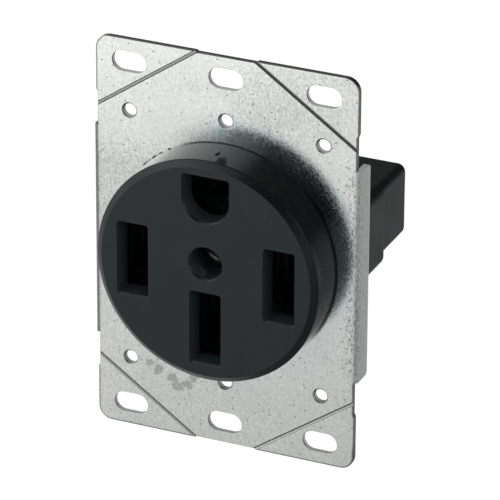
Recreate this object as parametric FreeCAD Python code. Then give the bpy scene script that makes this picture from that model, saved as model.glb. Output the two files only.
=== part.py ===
import FreeCAD, Part
import math
import os

# Flush-mounting power receptacle: three straight blade slots, one U-shaped ground slot.
# Millimetres. The origin is the centre of the box-screw pattern on the strap's back face.
# +X is right and +Z is up, seen from the front. The face looks along -Y, the rear is +Y.

V = FreeCAD.Vector
hair = 0.001              # keeps a round end from meeting itself

# Screw holes in the strap
box_pitch_x = 46.04
box_pitch_z = 83.34
box_slot_length = 8.2
box_slot_width = 4.9
plate_pitch_z = 60.32
plate_centre_pitch_z = 63.5
plate_hole = 3.05
hole_countersink = 0.32

# Mounting strap, blanked and folded from one sheet
sheet = 1.3
strap_side_reach = 8.03   # from the centre of a corner slot to the side edge
strap_end_reach = 5.3     # from the centre of a corner slot to the end edge
strap_corner = 3.2
strap_edge_round = 0.2
score_foot = 7.0          # half the stretch of end edge left between two score lines
end_setback = 0.28        # that stretch lies this much lower than the corners
waist_step = 0.35         # each waist is this much inside the side edge
waist_reach = 33.2        # half height at which the waist opens out to the full width
waist_ramp = 0.8          # height of the slope there
waist_round = 0.4
flange_out = 0.95         # each side flange stands this much outside the waist
flange_height = 50.8
flange_depth = 5.65       # from the strap's front face
flange_corner = 1.0
bend_inner = 0.15
bend_outer = 0.9
score_waist_z = 30.5      # where a score line meets the waist
score_width = 0.85
score_depth = 0.3
score_run_out = 3.0       # beyond each edge of the strap
strap_width = box_pitch_x + 2 * strap_side_reach
strap_height = box_pitch_z + 2 * strap_end_reach
waist_width = strap_width - 2 * waist_step
flange_span = waist_width + 2 * flange_out
bend_x = flange_span / 2 - sheet - bend_inner    # where the flat ends and the bend starts

# Blade layout on the face
line_pitch = 34.8
line_z = -0.1
neutral_z = -13.5
ground_flat_z = 22.7      # flat top of the ground opening
blade_slot_width = 6.9
blade_slot_height = 16.9
slot_corner = 0.4
slot_chamfer = 0.33
ground_slot_width = 10.7
ground_slot_height = 10.6
screw_z = 2.2             # axis of the assembly screw

# Face cover
face_proud = 12.1         # from the strap's back face to the flat face
face_wall = 4.8
side_wall = 1.95
rim_width = 1.45
rim_depth = 1.15
rim_round = 0.35
cup_fit = 0.2             # round the housing's spigot, inside the cup
centre_bore = 7.5
centre_tube_wall = 2.3
rib = 1.6
peg_dia = 2.6
peg_length = 2.2
peg_reach = 14.0
peg_fit = 0.15
peg_boss_wall = 0.6

# Rear housing
spigot_proud = 0.5        # in front of the strap
pocket_fit = 0.1          # beside the widest part of a contact
pocket_corner = 2.0
pocket_end_fit = 1.15
tail_pocket_corner = 0.5
ground_pocket_corner = 1.2
outer_wall = 0.85         # thinnest wall between a pocket and the barrel's outside
barrel_depth = 14.2
barrel_chamfer = 0.8
seat_lip = 3.3            # the seat ring stands this much outside the barrel
seat_depth = 3.2
strap_fit = 0.3           # round the barrel, in the strap's opening
key_width = 3.0
key_height = 1.0
tower_width = 15.4
tower_height = 17.35
tower_corner = 1.9
tower_depth = 42.0
tower_rim_round = 0.9
collar_side = 1.1
collar_top = 1.25
collar_depth = 26.8
ground_tower_height = 14.0
ground_tower_z = 13.5
ground_tower_depth = 31.0
ground_collar_depth = 16.0
bridge_depth = 22.0
rear_wall = 2.8
well_dia = 8.2
well_chamfer = 0.5
wire_port_width = 7.6
wire_port_chamfer = 0.6

# Contacts, springs and terminals
leaf = 1.0
inner_bend = 0.5
leaf_bend = 0.3
web_bend = 1.0
nip_gap = 6.2
mouth_gap = 7.0
root_gap = 6.6
leaf_height = 15.6
contact_front = 1.0
contact_nip = 4.5
contact_back = 14.0
ground_rise = 2.7         # from the back of the ground sleeve's web to its tongue
spring_sheet = 0.4
spring_height = 14.0
spring_window_fit = 0.3
tongue_width = 6.2
tongue_overhang = 0.5
lug_width = 8.8
lug_wall = 1.1
lug_height = 8.0
lug_nut_wall = 2.6
lug_round = 1.0
lug_fit = 0.1
lug_end_gap = 0.2
tail_gap = 0.8            # between the lug and the contact's tail beside it
wire_space = 6.4
plate_sheet = 1.2
groove_pitch = 2.2
groove_depth = 0.25
clamp_screw_dia = 6.4
clamp_screw_recess = 0.7
clamp_fit = 0.05
clamp_slot = 1.5
clamp_slot_depth = 1.6
screw_chamfer = 0.5
slot_turn = 25.0
sleeve_fit = 0.45         # the ground sleeve's bore is this much inside the face opening
sleeve_slit = 1.2
bond_sheet = 0.6
bond_width = 6.0
bond_fit = 0.1
bond_reach = 6.5
bond_tip_inset = 0.4

# Assembly screw, nut and washer
head_depth = 5.5          # top of the screw head behind the flat face
head_dia = 6.9
head_height = 2.6
head_round = 2.3
driver_slot = 1.1
driver_slot_depth = 1.2
shank_dia = 4.0
shank_fit = 0.2
nut_flats = 7.0
nut_height = 3.2
nut_fit = 0.2
nut_corner = 0.5
washer_dia = 6.9
washer_sheet = 0.9
washer_gap = 0.8
split_slant = 20.0
thread_end = 0.8          # the shank ends this far behind the nut

# Levels along Y
strap_front = -sheet
face_front = -face_proud
cup_floor = face_front + face_wall
spigot_front = strap_front - spigot_proud
head_top = face_front + head_depth
head_seat = head_top + head_height
lug_back = tower_depth - rear_wall - lug_end_gap

# Blade chambers
line_x = line_pitch / 2
pocket_half = root_gap / 2 + leaf + spring_sheet + pocket_fit
pocket_height = leaf_height + 2 * pocket_end_fit
tail_pocket_height = lug_height + 2 * (tail_gap + leaf) + 2 * pocket_fit
sleeve_half = ground_slot_width / 2 - sleeve_fit
sleeve_top = ground_flat_z - sleeve_fit
sleeve_bottom = ground_flat_z - ground_slot_height + sleeve_fit


def corner_reach(x, z):
    """Distance from the axis to the outermost point of a rounded pocket corner."""
    return math.hypot(x - pocket_corner, z - pocket_corner) + pocket_corner


# The barrel wraps the pockets, and the cup and the strap's opening wrap the barrel
barrel_r = corner_reach(line_x + pocket_half, abs(line_z) + pocket_height / 2) + outer_wall
cup_bore = barrel_r + cup_fit
face_r = cup_bore + side_wall
strap_bore = barrel_r + strap_fit
seat_r = barrel_r + seat_lip


def wire_of(corners, place):
    """Closed outline through corners (a, b, radius), each rounded by its radius."""
    edges = []
    ends = []
    count = len(corners)
    for i, (a, b, radius) in enumerate(corners):
        here = V(a, b, 0)
        before = V(corners[i - 1][0], corners[i - 1][1], 0) - here
        after = V(corners[(i + 1) % count][0], corners[(i + 1) % count][1], 0) - here
        if radius <= 0:
            ends.append((here, here))
            continue
        half = before.getAngle(after) / 2
        back = radius / math.tan(half)
        inward = (before.normalize() + after.normalize()).normalize()
        middle = here + inward * (radius / math.sin(half) - radius)
        start, stop = here + before * back, here + after * back
        ends.append((start, stop))
        arc = [place(p.x, p.y) for p in (start, middle, stop)]
        edges.append(Part.Arc(*arc).toShape())
    for i, (start, stop) in enumerate(ends):
        following = ends[(i + 1) % count][0]
        if (following - stop).Length > 1e-6:
            edges.append(Part.makeLine(place(stop.x, stop.y), place(following.x, following.y)))
    return Part.Wire(Part.__sortEdges__(edges))


def slab(corners, y0, y1):
    """Solid of an XZ outline between two levels."""
    wire = wire_of(corners, lambda a, b: V(a, y0, b))
    return Part.Face(wire).extrude(V(0, y1 - y0, 0))


def upright(corners, z0, z1):
    """Solid of an XY outline between two heights."""
    wire = wire_of(corners, lambda a, b: V(a, b, z0))
    return Part.Face(wire).extrude(V(0, 0, z1 - z0))


def sideways(corners, x0, x1):
    """Solid of a YZ outline between two widths."""
    wire = wire_of(corners, lambda a, b: V(x0, a, b))
    return Part.Face(wire).extrude(V(x1 - x0, 0, 0))


def rect(cx, cz, width, height, radius):
    """Corners of a rounded rectangle."""
    w, h = width / 2, height / 2
    return [(cx - w, cz - h, radius), (cx + w, cz - h, radius),
            (cx + w, cz + h, radius), (cx - w, cz + h, radius)]


def round_bar(cx, cz, radius, y0, y1):
    """Cylinder along Y."""
    return Part.makeCylinder(radius, y1 - y0, V(cx, y0, cz), V(0, 1, 0))


def block(x0, x1, y0, y1, z0, z1):
    """Box between two corners."""
    return Part.makeBox(x1 - x0, y1 - y0, z1 - z0, V(x0, y0, z0))


def joined(pieces):
    """One clean solid of several."""
    return pieces[0].multiFuse(pieces[1:]).removeSplitter()


def edges_at(shape, level, reach=1e9):
    """Edges that lie in the plane y = level and span no more than reach."""
    found = []
    for edge in shape.Edges:
        box = edge.BoundBox
        flat = abs(box.YMin - level) < 1e-4 and abs(box.YMax - level) < 1e-4
        if flat and max(box.XLength, box.ZLength) < reach:
            found.append(edge)
    return found


def mirrored(shape, axis):
    """Copy on the other side of the plane through the origin."""
    return shape.mirror(V(0, 0, 0), axis)


def u_shape(half, top, bottom, corner):
    """Corners of an opening with a flat top and a round bottom."""
    round_end = half - hair
    return [(-half, top, corner), (-half, bottom, round_end),
            (half, bottom, round_end), (half, top, corner)]


def strap_outline():
    """Outline of the strap's flat: corner tabs, waists and the stretch inside each bend."""
    tab, waist = strap_width / 2, waist_width / 2
    end = strap_height / 2
    quarter = [(bend_x, flange_height / 2, 0), (waist, flange_height / 2, 0),
               (waist, waist_reach, waist_round), (tab, waist_reach + waist_ramp, waist_round),
               (tab, end, strap_corner), (score_foot + end_setback, end, 0),
               (score_foot, end - end_setback, 0)]
    upper = quarter + [(-x, z, r) for x, z, r in reversed(quarter)]
    return upper + [(-x, -z, r) for x, z, r in upper]


def side_flange():
    """Right side flange with its bend, as the sheet's section run up the strap."""
    outside = flange_span / 2
    inside = outside - sheet
    rear = strap_front + flange_depth
    section = [(bend_x, strap_front, 0), (outside, strap_front, bend_outer),
               (outside, rear, 0), (inside, rear, 0), (inside, 0, bend_inner), (bend_x, 0, 0)]
    half = flange_height / 2
    flange = upright(section, -half, half)
    rear_corners = [e for e in flange.Edges
                    if abs(e.BoundBox.YMin - rear) < 1e-4 and e.BoundBox.ZLength < 1e-4]
    return flange.makeFillet(flange_corner, [e for e in rear_corners
                                             if e.BoundBox.XLength > sheet / 2])


def score_line(sx, sz):
    """V groove across one corner, run out past both edges."""
    start = V(sx * score_foot, strap_front, sz * strap_height / 2)
    stop = V(sx * waist_width / 2, strap_front, sz * score_waist_z)
    along = (stop - start).normalize()
    across = along.cross(V(0, 1, 0))
    lift = 0.3
    half = score_width / 2 * (score_depth + lift) / score_depth
    foot = start - along * score_run_out
    corners = [foot + across * half - V(0, lift, 0), foot - across * half - V(0, lift, 0),
               foot + V(0, score_depth, 0)]
    face = Part.Face(Part.makePolygon(corners + corners[:1]))
    return face.extrude(along * ((stop - start).Length + 2 * score_run_out))


def plate_hole_cut(x, z):
    """Round hole for a wall-plate screw, with its small countersink."""
    r = plate_hole / 2
    mouth = r + hole_countersink
    bore = round_bar(x, z, r, strap_front - 1, 1)
    sink = Part.makeCone(mouth, r, hole_countersink, V(x, strap_front, z), V(0, 1, 0))
    return bore.fuse(sink)


def locating_keys(radius, width, y0, y1):
    """Two keys that stop the housing from turning in the strap."""
    key = block(-width / 2, width / 2, y0, y1, radius - 4 * key_height, radius)
    return [key.copy().rotate(V(0, 0, 0), V(0, 1, 0), angle) for angle in (45, 225)]


def make_strap():
    flat = slab(strap_outline(), strap_front, 0)
    free_edges = [e for e in edges_at(flat, strap_front)
                  if abs(abs(e.CenterOfMass.x) - bend_x) > 1e-3 or e.Length < 2]
    flat = flat.makeFillet(strap_edge_round, free_edges)
    flange = side_flange()
    strap = joined([flat, flange, mirrored(flange, V(1, 0, 0))])
    cuts = [round_bar(0, 0, strap_bore, strap_front - 1, 1)]
    cuts += locating_keys(barrel_r + key_height + strap_fit / 2, key_width + strap_fit,
                          strap_front - 1, 1)
    for sz in (-1, 1):
        for column in (-1, 0, 1):
            x = column * box_pitch_x / 2
            slot = rect(x, sz * box_pitch_z / 2, box_slot_length, box_slot_width,
                        box_slot_width / 2 - hair)
            cuts.append(slab(slot, strap_front - 1, 1))
            pitch_z = plate_pitch_z if column else plate_centre_pitch_z
            cuts.append(plate_hole_cut(x, sz * pitch_z / 2))
        cuts += [score_line(sx, sz) for sx in (-1, 1)]
    return strap.cut(cuts).removeSplitter()


def make_face_cover():
    shell = Part.makeCylinder(face_r, face_wall, V(0, face_front, 0), V(0, 1, 0))
    shell = shell.makeChamfer(rim_depth, rim_width, edges_at(shell, face_front))
    rim_edges = edges_at(shell, face_front) + edges_at(shell, face_front + rim_depth)
    shell = shell.makeFillet(rim_round, rim_edges)
    wall = round_bar(0, 0, face_r, cup_floor, strap_front)
    wall = wall.cut(round_bar(0, 0, cup_bore, cup_floor - 1, strap_front + 1))
    tube_r = centre_bore / 2 + centre_tube_wall
    inside = [round_bar(0, screw_z, tube_r, cup_floor, spigot_front)]
    for angle in (45, 135, 225, 315):
        spoke = block(-rib / 2, rib / 2, cup_floor, spigot_front, 0, 2 * face_r)
        inside.append(spoke.rotate(V(0, 0, 0), V(0, 1, 0), angle).translate(V(0, 0, screw_z)))
    core = joined(inside).common(round_bar(0, 0, cup_bore, cup_floor, spigot_front))
    pegs = []
    for x, z in peg_places():
        boss = round_bar(x, z, peg_dia / 2 + peg_boss_wall, cup_floor, spigot_front)
        pegs += [boss, round_bar(x, z, peg_dia / 2, cup_floor, spigot_front + peg_length)]
    cover = joined([shell, wall, core] + pegs)
    cuts = []
    for x, z in blade_places():
        opening = rect(x, z, blade_slot_width, blade_slot_height, slot_corner)
        cuts.append(slab(opening, face_front - 1, cup_floor))
    ground = u_shape(ground_slot_width / 2, ground_flat_z, ground_flat_z - ground_slot_height,
                    slot_corner)
    cuts.append(slab(ground, face_front - 1, cup_floor))
    cuts.append(round_bar(0, screw_z, centre_bore / 2, face_front - 1, head_seat))
    cuts.append(round_bar(0, screw_z, shank_dia / 2 + shank_fit, face_front, spigot_front + 1))
    cover = cover.cut(cuts).removeSplitter()
    return cover.makeChamfer(slot_chamfer, edges_at(cover, face_front, 1.2 * blade_slot_height))


def peg_places():
    """Two pegs on opposite ribs, clear of the blade chambers."""
    step = peg_reach * math.sqrt(0.5)
    return [(step, screw_z + step), (-step, screw_z - step)]


def blade_places():
    """Centres of the two line chambers and the neutral chamber."""
    return [(-line_x, line_z), (line_x, line_z), (0, neutral_z)]


def tower(cx, cz, height, depth, collar_end):
    """Terminal tower with rounded rear rim, on a wider collar."""
    body = slab(rect(cx, cz, tower_width, height, tower_corner), 0, depth)
    body = body.makeFillet(tower_rim_round, edges_at(body, depth))
    collar = slab(rect(cx, cz, tower_width + 2 * collar_side, height + 2 * collar_top,
                       tower_corner + collar_top / 2), 0, collar_end)
    collar = collar.makeFillet(tower_rim_round / 2, edges_at(collar, collar_end))
    return [body, collar]


def terminal_cuts(cx, cz, side, depth, web_back):
    """Tail pocket, screw well and wire port of one terminal; side is -1 or +1 along Z."""
    half = tail_pocket_height / 2
    back = depth - rear_wall
    cuts = [slab(rect(cx, cz, 2 * pocket_half, tail_pocket_height, tail_pocket_corner),
                 web_back - 2 * leaf, back)]
    cuts.append(round_bar(cx, cz, well_dia / 2, back - 1, depth + 1))
    cuts.append(Part.makeCone(well_dia / 2, well_dia / 2 + 2 * well_chamfer, 2 * well_chamfer,
                              V(cx, depth - well_chamfer, cz), V(0, 1, 0)))
    mid = wire_mid(depth)
    span = wire_space + 2 * lug_fit
    z0, z1 = sorted((cz + side * half / 2, cz + side * 2 * half))
    cuts.append(block(cx - wire_port_width / 2, cx + wire_port_width / 2,
                      mid - span / 2, mid + span / 2, z0, z1))
    return cuts


def wire_mid(depth):
    """Level of the middle of the wire space for a tower of this depth."""
    return depth - tower_depth + lug_back - lug_nut_wall - lug_fit - plate_sheet - wire_space / 2


def ground_back():
    """Level of the back of the ground sleeve's web."""
    return wire_mid(ground_tower_depth) - wire_space / 2 - leaf - ground_rise


def make_housing():
    barrel = round_bar(0, 0, barrel_r, spigot_front, barrel_depth)
    solids = [barrel.makeChamfer(barrel_chamfer, edges_at(barrel, barrel_depth)),
              round_bar(0, 0, seat_r, 0, seat_depth)]
    solids += locating_keys(barrel_r + key_height, key_width, strap_front, 0)
    for x, z in blade_places():
        solids += tower(x, z, tower_height, tower_depth, collar_depth)
    solids += tower(0, ground_tower_z, ground_tower_height, ground_tower_depth,
                    ground_collar_depth)
    bridge_top = line_z + tower_height / 2
    bridge = rect(0, (bridge_top + neutral_z) / 2, line_pitch, bridge_top - neutral_z, 0)
    solids.append(slab(bridge, 0, bridge_depth))
    housing = joined(solids)
    cuts = [round_bar(0, screw_z, shank_dia / 2 + shank_fit, spigot_front - 1, tower_depth)]
    recess_floor = bridge_depth - nut_height - washer_sheet
    cuts.append(hexagon(nut_flats / 2 + nut_fit, recess_floor, bridge_depth + 1))
    for x, z in blade_places():
        pocket = rect(x, z, 2 * pocket_half, pocket_height, pocket_corner)
        cuts.append(slab(pocket, spigot_front - 1, contact_back - leaf + pocket_fit))
        web_pocket = rect(x, z, 2 * pocket_half, leaf_height + 2 * pocket_fit, pocket_fit)
        cuts.append(slab(web_pocket, contact_front, contact_back + spring_sheet + pocket_fit))
        cuts += terminal_cuts(x, z, -1, tower_depth, contact_back)
    grow = leaf + pocket_fit
    ground = u_shape(sleeve_half + grow, sleeve_top + grow, sleeve_bottom - grow,
                     ground_pocket_corner)
    cuts.append(slab(ground, spigot_front - 1, ground_back() - leaf + pocket_fit))
    cuts += terminal_cuts(0, ground_tower_z, 1, ground_tower_depth, ground_back())
    for x, z in peg_places():
        cuts.append(round_bar(x, z, peg_dia / 2 + peg_fit, spigot_front - 1,
                              spigot_front + peg_length + peg_fit))
    half = bond_width / 2 + bond_fit
    top = sleeve_top + leaf
    cuts.append(block(-half, half, spigot_front - 1, bond_reach + bond_fit, top - leaf,
                      barrel_r + strap_fit))
    cuts.append(block(-half, half, -1, bond_sheet + bond_fit, top, seat_r + 1))
    housing = housing.cut(cuts).removeSplitter()
    mouths = []
    for _, x, z, depth in terminals():
        side = 1 if depth == ground_tower_depth else -1
        height = ground_tower_height if side > 0 else tower_height
        mouths += port_edges(housing, x, z + side * height / 2, wire_mid(depth))
    return housing.makeChamfer(wire_port_chamfer, mouths)


def port_edges(housing, cx, level, mid):
    """Edges of one wire port's mouth, which lies in the plane z = level."""
    half_x, half_y = wire_port_width / 2, wire_space / 2 + lug_fit
    found = []
    for edge in housing.Edges:
        box, centre = edge.BoundBox, edge.CenterOfMass
        flat = abs(box.ZMin - level) < 1e-4 and abs(box.ZMax - level) < 1e-4
        near = abs(centre.x - cx) < half_x + 1e-3 and abs(centre.y - mid) < half_y + 1e-3
        if flat and near:
            found.append(edge)
    return found


def hexagon(half_flats, y0, y1):
    """Hexagonal bar on the assembly screw's axis, one flat upwards."""
    r = half_flats / math.cos(math.pi / 6)
    points = [(r * math.cos(math.radians(60 * k)), screw_z + r * math.sin(math.radians(60 * k)), 0)
              for k in range(6)]
    return slab(points, y0, y1)


def tail(cx, cz, side, depth, start):
    """Bent strip from a contact to the tongue inside its lug; start is its first stretch."""
    near = cz + side * (lug_height / 2 + tail_gap)
    far = near + side * leaf
    tongue = wire_mid(depth) - wire_space / 2
    end = cz - side * (lug_height / 2 + tongue_overhang)
    section = start + [(tongue - leaf, near, inner_bend), (tongue - leaf, end, 0),
                       (tongue, end, 0), (tongue, far, inner_bend + leaf)]
    return sideways(section, cx - tongue_width / 2, cx + tongue_width / 2)


def make_blade_contact(cx, cz):
    """U-shaped female contact for a flat blade, with the strip to its terminal."""
    web = contact_back - leaf
    inner = [(root_gap / 2, web, leaf_bend), (nip_gap / 2, contact_nip, 0),
             (mouth_gap / 2, contact_front, 0)]
    outer = [(mouth_gap / 2 + leaf, contact_front, 0), (nip_gap / 2 + leaf, contact_nip, 0),
             (root_gap / 2 + leaf, contact_back, web_bend)]
    channel = upright(both_sides(cx, inner + outer), cz - leaf_height / 2, cz + leaf_height / 2)
    near = cz + lug_height / 2 + tail_gap
    start = [(contact_back - leaf / 2, near + leaf, 0), (contact_back - leaf / 2, near, 0)]
    return joined([channel, tail(cx, cz, 1, tower_depth, start)])


def both_sides(cx, right):
    """Corners of a section that is alike on both sides of x = cx, from its right half."""
    return ([(cx + x, y, r) for x, y, r in right]
            + [(cx - x, y, r) for x, y, r in reversed(right)])


def make_contact_spring(cx, cz):
    """Steel clip wrapped round a blade contact, which presses its leaves together."""
    arm_x, root_x = nip_gap / 2 + leaf, root_gap / 2 + leaf
    right = [(root_x, contact_back, web_bend), (arm_x, contact_nip, 0),
             (arm_x + spring_sheet, contact_nip, 0),
             (root_x + spring_sheet, contact_back + spring_sheet, web_bend + spring_sheet)]
    clip = upright(both_sides(cx, right), cz - spring_height / 2, cz + spring_height / 2)
    half = tongue_width / 2 + spring_window_fit
    window_z = cz + lug_height / 2 + tail_gap - spring_window_fit
    window = block(cx - half, cx + half, contact_back - 1, contact_back + 1,
                   window_z, cz + spring_height)
    return clip.cut(window)


def make_ground_contact():
    """Slit sleeve that grips the round-bottomed ground prong, with the strip to its terminal."""
    bore = u_shape(sleeve_half, sleeve_top, sleeve_bottom, inner_bend)
    skin = u_shape(sleeve_half + leaf, sleeve_top + leaf, sleeve_bottom - leaf,
                   inner_bend + leaf)
    back = ground_back()
    web = back - leaf
    sleeve = slab(skin, contact_front, web).cut(slab(bore, contact_front - 1, web + 1))
    slit = block(-sleeve_slit / 2, sleeve_slit / 2, contact_front - 1, web - 2 * leaf,
                 sleeve_top - 1, sleeve_top + 2 * leaf)
    near = ground_tower_z - lug_height / 2 - tail_gap
    web_top = sleeve_bottom + 1.2 * leaf
    start = [(web, near - leaf, inner_bend + leaf), (web, web_top, 0), (back, web_top, 0),
             (back, near, inner_bend)]
    strip = tail(0, ground_tower_z, -1, ground_tower_depth, start)
    return joined([sleeve.cut(slit), strip])


def make_bond_strip():
    """Angle strip that lies on the ground sleeve and on the strap's back face."""
    low = sleeve_top + leaf
    tip = seat_r - bond_tip_inset
    section = [(0, low, 0), (bond_reach, low, 0), (bond_reach, low + bond_sheet, 0),
               (bond_sheet, low + bond_sheet, inner_bend), (bond_sheet, tip, 0), (0, tip, 0)]
    return sideways(section, -bond_width / 2, bond_width / 2)


def make_lug(cx, cz, depth):
    """Box clamp: a square ring, open along Z, with a thick threaded rear wall."""
    back = depth - tower_depth + lug_back
    front = wire_mid(depth) - wire_space / 2 - leaf - lug_wall
    inner_front, inner_back = front + lug_wall, back - lug_nut_wall
    ring = upright(rect(cx, (front + back) / 2, lug_width, back - front, lug_round),
                   cz - lug_height / 2, cz + lug_height / 2)
    window = rect(cx, (inner_front + inner_back) / 2, lug_width - 2 * lug_wall,
                  inner_back - inner_front, lug_fit)
    bore = round_bar(cx, cz, clamp_screw_dia / 2 + clamp_fit, inner_back - 0.5, back + 1)
    return ring.cut([upright(window, cz - lug_height, cz + lug_height), bore])


def plate_back(depth):
    """Level of the pressure plate's rear face, where the clamp screw's tip stands."""
    return wire_mid(depth) + wire_space / 2 + plate_sheet


def make_pressure_plate(cx, cz, depth):
    """Plate that the screw drives on to the wire, grooved across to grip it."""
    half_x = lug_width / 2 - lug_wall - lug_fit
    half_z = lug_height / 2 - lug_fit
    back = plate_back(depth)
    front = back - plate_sheet
    plate = block(cx - half_x, cx + half_x, front, back, cz - half_z, cz + half_z)
    grooves = []
    for k in range(-1, 2):
        z = cz + k * groove_pitch
        section = [(front - groove_depth, z - 2 * groove_depth, 0), (front + groove_depth, z, 0),
                   (front - groove_depth, z + 2 * groove_depth, 0)]
        grooves.append(sideways(section, cx - half_x - 1, cx + half_x + 1))
    return plate.cut(grooves)


def make_clamp_screw(cx, cz, depth):
    """Slotted grub screw in the lug's thick wall, reached through the well in the rear face."""
    r = clamp_screw_dia / 2
    end = depth - clamp_screw_recess
    screw = round_bar(cx, cz, r, plate_back(depth), end)
    ends = edges_at(screw, end) + edges_at(screw, plate_back(depth))
    screw = screw.makeChamfer(screw_chamfer, ends)
    slot = block(cx - 2 * r, cx + 2 * r, end - clamp_slot_depth, end + 1,
                 cz - clamp_slot / 2, cz + clamp_slot / 2)
    slot.rotate(V(cx, 0, cz), V(0, 1, 0), slot_turn)
    return screw.cut(slot)


def make_assembly_screw():
    """Round-head screw from the face through the housing to the nut."""
    head = round_bar(0, screw_z, head_dia / 2, head_top, head_seat)
    head = head.makeFillet(head_round, edges_at(head, head_top))
    shank_end = bridge_depth + thread_end
    shank = round_bar(0, screw_z, shank_dia / 2, head_seat, shank_end)
    shank = shank.makeChamfer(screw_chamfer, edges_at(shank, shank_end))
    slot = block(-head_dia, head_dia, head_top - 1, head_top + driver_slot_depth,
                 screw_z - driver_slot / 2, screw_z + driver_slot / 2)
    slot.rotate(V(0, 0, screw_z), V(0, 1, 0), slot_turn)
    return joined([head.cut(slot), shank])


def make_nut():
    """Hexagon nut on the end of the assembly screw, corners turned off at the rear."""
    front = bridge_depth - nut_height
    nut = hexagon(nut_flats / 2, front, bridge_depth)
    corner = nut_flats / math.sqrt(3)
    turned = round_bar(0, screw_z, corner, front, bridge_depth)
    turned = turned.makeChamfer(nut_corner, edges_at(turned, bridge_depth))
    thread = round_bar(0, screw_z, shank_dia / 2 + clamp_fit, front - 1, bridge_depth + 1)
    return nut.common(turned).cut(thread)


def make_lock_washer():
    """Split ring between the nut and the floor of its recess."""
    back = bridge_depth - nut_height
    front = back - washer_sheet
    ring = round_bar(0, screw_z, washer_dia / 2, front, back)
    ring = ring.cut(round_bar(0, screw_z, shank_dia / 2 + shank_fit, front - 1, back + 1))
    split = block(-washer_gap / 2, washer_gap / 2, front - 1, back + 1, screw_z,
                  screw_z + washer_dia)
    split.rotate(V(0, (front + back) / 2, screw_z), V(0, 0, 1), split_slant)
    return ring.cut(split)


def terminals():
    """Name, centre, depth of each terminal tower."""
    places = dict(zip(("line_left", "line_right", "neutral"), blade_places()))
    rows = [(name, x, z, tower_depth) for name, (x, z) in places.items()]
    return rows + [("ground", 0, ground_tower_z, ground_tower_depth)]


def make_parts():
    """Every sub-part by its name."""
    parts = {"mounting_strap": make_strap(), "face_cover": make_face_cover(),
             "rear_housing": make_housing(), "assembly_screw": make_assembly_screw(),
             "assembly_nut": make_nut(), "lock_washer": make_lock_washer(),
             "ground_bond_strip": make_bond_strip()}
    for name, x, z, depth in terminals():
        if name == "ground":
            parts["ground_contact"] = make_ground_contact()
        else:
            parts[name + "_contact"] = make_blade_contact(x, z)
            parts[name + "_contact_spring"] = make_contact_spring(x, z)
        parts[name + "_lug"] = make_lug(x, z, depth)
        parts[name + "_pressure_plate"] = make_pressure_plate(x, z, depth)
        parts[name + "_clamp_screw"] = make_clamp_screw(x, z, depth)
    return parts


os.makedirs("parts", exist_ok=True)
for node, solid in make_parts().items():
    solid.exportStep("parts/" + node + ".step")
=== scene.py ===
import math
from types import SimpleNamespace

import bmesh
import bpy
from mathutils import Matrix, Vector


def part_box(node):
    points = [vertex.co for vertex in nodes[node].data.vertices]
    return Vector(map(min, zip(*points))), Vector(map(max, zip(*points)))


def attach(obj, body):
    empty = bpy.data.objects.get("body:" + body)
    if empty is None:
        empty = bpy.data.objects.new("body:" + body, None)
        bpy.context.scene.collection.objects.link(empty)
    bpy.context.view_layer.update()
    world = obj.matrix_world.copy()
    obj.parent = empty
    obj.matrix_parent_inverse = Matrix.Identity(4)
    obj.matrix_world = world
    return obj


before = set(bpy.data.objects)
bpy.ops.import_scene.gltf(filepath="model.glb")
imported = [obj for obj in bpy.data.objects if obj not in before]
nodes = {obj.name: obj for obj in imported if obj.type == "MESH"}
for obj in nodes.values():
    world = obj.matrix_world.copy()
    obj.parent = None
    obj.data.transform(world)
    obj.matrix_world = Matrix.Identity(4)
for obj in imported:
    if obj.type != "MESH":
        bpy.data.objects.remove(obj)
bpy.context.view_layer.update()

# Lengths are in metres; MM turns a drawing's millimetres into them.
MM = 0.001

# Sizes of the solids that the finishes follow, in millimetres
STRAP_LOW, STRAP_HIGH = (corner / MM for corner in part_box("mounting_strap"))
SHEET_FRONT = STRAP_LOW.y
FLANGE_REAR = STRAP_HIGH.y
HALF_HEIGHT = STRAP_HIGH.z
COVER_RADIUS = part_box("face_cover")[1].x / MM
COVER_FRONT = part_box("face_cover")[0].y / MM
BRIDGE_REAR = 22.0            # rear face of the web between the housing's towers

# Camera of the photograph: yaw, lift and roll in radians, then its place and focal length
CAMERA_YAW = 0.413549
CAMERA_LIFT = 0.446595
CAMERA_ROLL = 0.005733
CAMERA_PLACE = Vector((0.371454, -0.834279, 0.437715))
CAMERA_LENS = 332.44
SENSOR = 36.0
CLIP_NEAR, CLIP_FAR = 0.05, 20.0


# Node helpers

def add(tree, kind, settings=None, **inputs):
    """One shader node; inputs are sockets by name, given a value or another node's output."""
    made = tree.nodes.new(kind)
    for key, value in (settings or {}).items():
        setattr(made, key, value)
    for key, value in inputs.items():
        plug(tree, made, key.replace("_", " "), value)
    return made


def plug(tree, made, key, value):
    """Links or sets one input, by name or by place."""
    socket = made.inputs[key]
    if isinstance(value, bpy.types.NodeSocket):
        tree.links.new(value, socket)
    else:
        socket.default_value = value


def maths(tree, operation, first, second=0.0, clamp=False):
    """A maths node's output."""
    made = tree.nodes.new("ShaderNodeMath")
    made.operation = operation
    made.use_clamp = clamp
    plug(tree, made, 0, first)
    plug(tree, made, 1, second)
    return made.outputs[0]


def chain(tree, operation, values):
    """Runs one maths operation along several masks or numbers."""
    result, *rest = values
    for value in rest:
        result = maths(tree, operation, result, value)
    return result


def times(tree, *values):
    """Product of masks and numbers."""
    return chain(tree, "MULTIPLY", values)


def total(tree, *values):
    """Sum of masks and numbers."""
    return chain(tree, "ADD", values)


def highest(tree, *values):
    """The greatest of several masks."""
    return chain(tree, "MAXIMUM", values)


def size_of(tree, value):
    """A value without its sign."""
    return maths(tree, "ABSOLUTE", value)


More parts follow.
